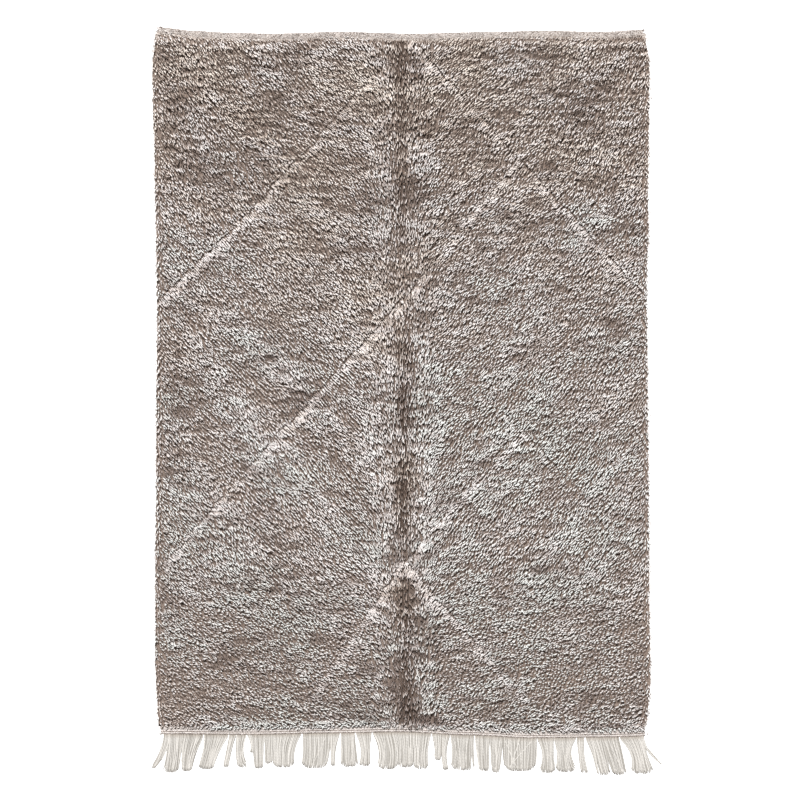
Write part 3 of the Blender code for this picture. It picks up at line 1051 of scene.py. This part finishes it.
# %% Beads of weft
def bead_template():
    """A small four-sided bead, pointed at both ends, that lies along x."""
    bead = bmesh.new()
    bmesh.ops.create_circle(bead, segments=4, radius=1)
    middle = list(bead.edges)
    raise_ring(bead, middle, 1.0, 0.0)
    raise_ring(bead, middle, -1.0, 0.0)
    bmesh.ops.remove_doubles(bead, verts=bead.verts, dist=1e-5)
    bmesh.ops.rotate(bead, matrix=Matrix.Rotation(math.pi / 2, 3, "Y"), verts=bead.verts)
    return lay_out(bead)


bead = bead_template()
print(f"one bead has {len(bead.faces)} faces")

# %% Rows of weft
Row = namedtuple("Row", "inset pitch length radius slant tone spread")      # in mm, slant in radians
FRINGED_ROWS = [
    Row(1.5, 4.4, 5.5, 1.7, 0.5, 0.34, 0.22), Row(4.9, 4.2, 7.0, 1.9, 0.4, 0.98, 0.06),
    Row(8.5, 4.4, 5.0, 1.7, -0.5, 0.22, 0.20), Row(12.0, 4.2, 7.0, 1.9, 0.4, 0.96, 0.06),
    Row(15.4, 4.6, 5.0, 1.8, 0.0, 0.88, 0.12), Row(18.8, 4.6, 5.0, 1.8, 0.0, 0.84, 0.14),
    Row(22.2, 4.6, 5.0, 1.8, 0.0, 0.74, 0.18)]
PLAIN_ROWS = [
    Row(0.6, 4.4, 6.0, 2.0, 0.4, 0.90, 0.10), Row(4.0, 4.6, 5.0, 1.9, 0.0, 0.74, 0.42),
    Row(7.4, 4.6, 5.0, 1.9, 0.0, 0.74, 0.42), Row(10.8, 4.6, 5.0, 1.9, 0.0, 0.72, 0.42),
    Row(14.2, 4.6, 5.0, 1.9, 0.0, 0.66, 0.22), Row(17.6, 4.6, 5.0, 1.8, 0.0, 0.58, 0.24)]
ROW_MARGIN = 6 * MM         # between a row's ends and the sides of the rug
BEAD_HEIGHT = GROUND_THICKNESS + 0.3 * MM


def beads(name, x, y, z, angle, length, radius, tone, material):
    """A piece made of many beads: each argument holds one number for each bead."""
    shape = points_of(bead)
    along, beside = shape[:, 0] * length[:, None] / 2, shape[:, 1] * radius[:, None]
    cos, sin = np.cos(angle)[:, None], np.sin(angle)[:, None]
    points = np.stack([
        x[:, None] + cos * along - sin * beside, y[:, None] + sin * along + cos * beside,
        z[:, None] + shape[:, 2] * radius[:, None]], axis=2)
    piece = repeated(name, bead, points, {
        "along": 1.0, "tone": np.clip(tone, 0, 1)[:, None], "warm": 0.6})
    return finish_piece(piece, material)


def end_band(name, rows, edge_at, inwards):
    """Rows of beads along one end of the rug."""
    made = []
    for index, row in enumerate(rows):
        x = np.arange(left_at(edge_at(0)) + ROW_MARGIN, right_at(edge_at(0)) - ROW_MARGIN, row.pitch * MM)
        x = x + (index % 2) * row.pitch * MM / 2 + chance.normal(0, 0.4 * MM, len(x))
        count = len(x)
        y = edge_at(x) + inwards * (row.inset * MM + chance.normal(0, 0.3 * MM, count))
        angle = row.slant + chance.normal(0, 0.12, count)
        length = row.length * MM * chance.normal(1, 0.1, count)
        radius = row.radius * MM * chance.normal(1, 0.08, count)
        tone = row.tone + chance.normal(0, 1, count) * row.spread
        made.append((x, y, np.full(count, BEAD_HEIGHT), angle, length, radius, tone))
    return beads(name, *(np.concatenate(numbers) for numbers in zip(*made)), band_wool)


ends = [end_band("fringed_end_weft", FRINGED_ROWS, fringed_at, 1),
        end_band("plain_end_weft", PLAIN_ROWS, plain_at, -1)]
print(f"{sum(len(piece.data.polygons) for piece in ends)} faces in the woven ends")

# %% Wrapped side cords and knotted corners
CORD_RINGS = 270
CORD_RADIUS = 3.0 * MM
CORD_START, CORD_END = 12 * MM, 10 * MM     # how far inside the box each cord begins and ends
CORD_HEIGHT = GROUND_THICKNESS + 0.8 * MM
SCALLOP = 0.084             # metres from one slight bulge of the side to the next


def straight_cord():
    """A six-sided cord from z 0 to 1 with closed ends."""
    cord = bmesh.new()
    bmesh.ops.create_circle(cord, cap_ends=True, segments=6, radius=1)
    ring = list(cord.edges)
    for step in range(1, CORD_RINGS):
        ring = raise_ring(cord, ring, step / (CORD_RINGS - 1), 1)
    bmesh.ops.edgeloop_fill(cord, edges=ring)
    return lay_out(cord)


def side_cord(name, edge_at, inwards):
    """The wrapped cord along one side, a little thicker at every other ring, as turns of weft are."""
    shape = points_of(cord)
    y = rug_low.y + CORD_START + (rug_length - CORD_START - CORD_END) * shape[:, 2]
    turns = 1 + 0.03 * np.cos(np.round(shape[:, 2] * (CORD_RINGS - 1)) * np.pi)
    wide = CORD_RADIUS * turns * (1 + 0.10 * cloud(y, 0 * y, 0.05, 1, 51.5))
    x = edge_at(y) - inwards * (2.0 * MM + 0.8 * MM * np.sin(y * 2 * np.pi / SCALLOP))
    places = np.stack([x + shape[:, 0] * wide, y, CORD_HEIGHT + shape[:, 1] * wide], axis=1)
    piece = repeated(name, cord, places[None], {"along": 1.0, "tone": 1.0, "warm": 0.35})
    return finish_piece(piece, wool)


def corner_knots():
    """The dark ends of the weft, knotted at the two corners of the plain end."""
    x = np.array([-0.834, -0.831, -0.829, 0.829, 0.832, 0.834])
    y = plain_at(x) + np.array([-1, 0, -2, -1, -2, 0]) * MM
    angle, tone = np.array([0.9, 0.2, 1.5, 1.2, 0.3, -0.6]), np.full(6, 0.12)
    return beads("corner_knots", x, y, np.full(6, 5 * MM), angle, np.full(6, 8 * MM),
                 np.full(6, 2.2 * MM), tone, wool)


cord = straight_cord()
sides = [side_cord("left_side_cord", left_at, 1), side_cord("right_side_cord", right_at, -1),
         corner_knots()]
print(f"each side cord has {len(sides[0].data.polygons)} faces")

# %% [markdown]
# ## The fringe
#
# The fringe is the end of the warp: undyed yarns, some hundreds of them, that leave the cloth in an even
# row and lie together in loose locks. The table gives each lock's left and right side where it leaves the
# cloth, half way down and at its tips. Each lock gets two layers: an even one, painted darker as painted
# shade, that fills it without slits, and fewer, paler yarns on top, which wave and now and then cross
# their neighbours. All of them end on the lock's rounded tip. A smooth curve through three places is
# enough for yarns this short.

# %% The locks of the fringe
Lock = namedtuple("Lock", "root_left root_right middle_left middle_right tip_left tip_right tip_y")
LOCKS = [
    Lock(-0.806, -0.800, -0.815, -0.810, -0.836, -0.831, -1.243),
    Lock(-0.821, -0.809, -0.835, -0.817, -0.867, -0.850, -1.269),
    Lock(-0.809, -0.757, -0.812, -0.762, -0.825, -0.769, -1.283),
    Lock(-0.757, -0.684, -0.760, -0.709, -0.760, -0.724, -1.278),
    Lock(-0.683, -0.597, -0.686, -0.628, -0.702, -0.648, -1.272),
    Lock(-0.595, -0.572, -0.605, -0.588, -0.617, -0.597, -1.265),
    Lock(-0.570, -0.536, -0.573, -0.547, -0.568, -0.531, -1.266),
    Lock(-0.536, -0.519, -0.522, -0.513, -0.524, -0.513, -1.214),
    Lock(-0.519, -0.476, -0.513, -0.478, -0.509, -0.479, -1.269),
    Lock(-0.476, -0.447, -0.472, -0.448, -0.474, -0.448, -1.253),
    Lock(-0.447, -0.346, -0.447, -0.369, -0.446, -0.371, -1.266),
    Lock(-0.343, -0.247, -0.341, -0.248, -0.347, -0.256, -1.269),
    Lock(-0.247, -0.213, -0.247, -0.228, -0.245, -0.229, -1.260),
    Lock(-0.211, -0.164, -0.210, -0.159, -0.212, -0.151, -1.264),
    Lock(-0.160, -0.104, -0.142, -0.110, -0.149, -0.109, -1.261),
    Lock(-0.102, -0.022, -0.081, -0.012, -0.086, -0.016, -1.272),
    Lock(-0.022, 0.040, -0.012, 0.040, -0.016, 0.040, -1.266),
    Lock(0.040, 0.101, 0.040, 0.090, 0.040, 0.092, -1.271),
    Lock(0.102, 0.136, 0.111, 0.136, 0.111, 0.133, -1.241),
    Lock(0.136, 0.166, 0.136, 0.153, 0.140, 0.160, -1.274),
    Lock(0.166, 0.249, 0.172, 0.247, 0.167, 0.252, -1.276),
    Lock(0.251, 0.302, 0.257, 0.300, 0.266, 0.300, -1.278),
    Lock(0.302, 0.347, 0.305, 0.343, 0.310, 0.336, -1.283),
    Lock(0.347, 0.464, 0.347, 0.466, 0.350, 0.462, -1.279),
    Lock(0.464, 0.522, 0.483, 0.522, 0.472, 0.529, -1.285),
    Lock(0.522, 0.602, 0.534, 0.583, 0.529, 0.602, -1.282),
    Lock(0.602, 0.629, 0.608, 0.629, 0.616, 0.644, -1.286),
    Lock(0.632, 0.690, 0.657, 0.705, 0.671, 0.718, -1.292),
    Lock(0.690, 0.747, 0.705, 0.762, 0.724, 0.774, -1.291),
    Lock(0.747, 0.833, 0.788, 0.845, 0.788, 0.867, -1.288),
    Lock(0.822, 0.834, 0.845, 0.854, 0.889, 0.898, -1.254)]
print(f"{len(LOCKS)} locks, the longest {fringed_at(0.7) - min(lock.tip_y for lock in LOCKS):.2f} m long")

# %% One straight yarn
WARP_RINGS = 9


def straight_warp():
    """A five-sided yarn from z 0 to 1 with closed ends, a little thinner at the last ring."""
    warp = bmesh.new()
    bmesh.ops.create_circle(warp, cap_ends=True, segments=5, radius=1)
    ring = list(warp.edges)
    taper = {2: 0.85, 1: 0.45}      # the last two rings, as shares of the ring before
    for step in range(1, WARP_RINGS):
        ring = raise_ring(warp, ring, step / (WARP_RINGS - 1), taper.get(WARP_RINGS - step, 1))
    bmesh.ops.edgeloop_fill(warp, edges=ring)
    return lay_out(warp)


warp = straight_warp()
print(f"one yarn has {len(warp.faces)} faces")

# %% Laying the yarns
LOWER_SPACING = 2.4 * MM
UPPER_SPACING = 5.2 * MM
CROSSING_SHARE = 0.12       # of the upper yarns
WARP_RADIUS = 2.1 * MM
FLATTENED = 0.65            # the height of a yarn, as a share of its width
INTO_THE_CLOTH = 5 * MM
STRAIGHT_ROOT = 0.07        # of a yarn's length, where it still stands in the even row
warp_shape = points_of(warp)
warp_t = warp_shape[:, 2]


def through(root, middle, tip, t):
    """A smooth way from root to tip that passes the middle."""
    return root * (1 - t) * (1 - 2 * t) + 4 * middle * t * (1 - t) + tip * t * (2 * t - 1)


def warp_points(lock, share, layer):
    """The points of one yarn. share is its place across the lock, and layer is 0 below and 1 above."""
    t = warp_t
    crosses = layer == 1 and chance.random() < CROSSING_SHARE
    stray = chance.normal(0, (0.6 + 1.6 * layer) * MM) / (lock.tip_right - lock.tip_left)
    drift = chance.uniform(0.02, 0.98) if crosses else np.clip(share + stray, 0.02, 0.98)
    root = between(lock.root_left, lock.root_right, share)
    middle = between(lock.middle_left, lock.middle_right, (share + drift) / 2)
    tip = between(lock.tip_left, lock.tip_right, drift)
    root_y = fringed_at(root) + INTO_THE_CLOTH
    rounding = 0.22 * (lock.tip_right - lock.tip_left) * (2 * drift - 1) ** 4 + 1.2 * MM
    tip_y = lock.tip_y + rounding + abs(chance.normal(0, 1.6 * MM))
    sway = chance.normal(0, 0.5 + 0.7 * layer) * np.sin(np.pi * t) * MM
    sway = sway + chance.normal(0, 0.3 + 0.6 * layer) * np.sin(2 * np.pi * t) * MM
    wave = 0.8 * layer * MM * np.sin(chance.uniform(9, 20) * t + chance.uniform(0, 6))
    thick = WARP_RADIUS * np.minimum(1, 0.5 + 6 * t)
    bending = np.maximum(0, t - STRAIGHT_ROOT) / (1 - STRAIGHT_ROOT)
    x = through(root, middle, tip, bending) + sway + wave * t
    y = between(root_y, tip_y, t)
    rise = 0.8 * MM * np.sin(np.pi * t) * chance.uniform(0, 1)
    level = thick * (1 + 1.3 * layer * (1 - t ** 4)) + rise
    wide = np.hypot(warp_shape[:, 0], warp_shape[:, 1]) * thick * chance.normal(1, 0.06)
    spin = np.arctan2(warp_shape[:, 1], warp_shape[:, 0])
    return np.stack([x + wide * np.cos(spin), y, FLATTENED * (level + wide * np.sin(spin))], axis=1)


def fringe_part(name, locks, material):
    """One piece with all the yarns of some neighbouring locks."""
    copies, yarn_tones = [], []
    for lock in locks:
        widest = max(lock.root_right - lock.root_left, lock.middle_right - lock.middle_left,
                     lock.tip_right - lock.tip_left)
        for layer, spacing in enumerate((LOWER_SPACING, UPPER_SPACING)):
            count = max(3, round(widest / spacing))
            for index in range(count):
                copies.append(warp_points(lock, (index + 0.5) / count, layer))
                # Painted shade: the lower layer gets a darker tone than the top one.
                yarn_tones.append(0.20 + 0.50 * layer)
    tone = np.clip(np.array(yarn_tones) + chance.normal(0, 0.12, len(copies)), 0, 1)
    piece = repeated(name, warp, np.array(copies), {"along": warp_t[None], "tone": tone[:, None]})
    return finish_piece(piece, material)


# %% The yarn of the fringe
WARP_TONES = [(0.0, (0.25, 0.235, 0.212)), (1.0, (0.58, 0.560, 0.532))]
PAINTED_LIGHT_ALONG_THE_WARP = [(0.0, (0.55, 0.48, 0.42)), (0.16, (1.0, 1.0, 1.0)), (0.85, (1.0, 1.0, 1.0)),
                  (1.0, (1.5, 1.5, 1.5))]       # painted shade at the root, and a painted highlight at the tip, whose end faces away from the lamp


def warp_yarn():
    """The material of the plied warp, smoother and paler than the pile."""
    nodes = Nodes("warp_yarn")
    colour = nodes.ramp(nodes.field("tone"), WARP_TONES)
    fibres = nodes.fibres(700, 3)
    flecks = nodes.ramp(fibres, [(0.25, (0.88, 0.88, 0.87)), (0.75, (1.08, 1.08, 1.08))])
    twist = nodes.twist(26)
    plies = nodes.ramp(twist, [(0.0, (0.93, 0.925, 0.915)), (0.5, (1.0, 1.0, 1.0))])
    # Painted shade at the root of each yarn and a painted highlight at its tip.
    along = nodes.ramp(nodes.field("along"), PAINTED_LIGHT_ALONG_THE_WARP)
    nodes.bump((twist, 0.4 * MM), (fibres, 0.4 * MM))
    colour = nodes.multiply(nodes.multiply(nodes.multiply(colour, flecks), plies), along)
    return nodes.finish(colour, roughness=0.85, sheen=0.2)


undyed = warp_yarn()
fringe = [fringe_part("fringe_left", LOCKS[:11], undyed),
          fringe_part("fringe_middle", LOCKS[11:20], undyed),
          fringe_part("fringe_right", LOCKS[20:], undyed)]
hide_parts("fringe")
print(f"{sum(len(piece.data.polygons) for piece in fringe)} faces in the fringe")
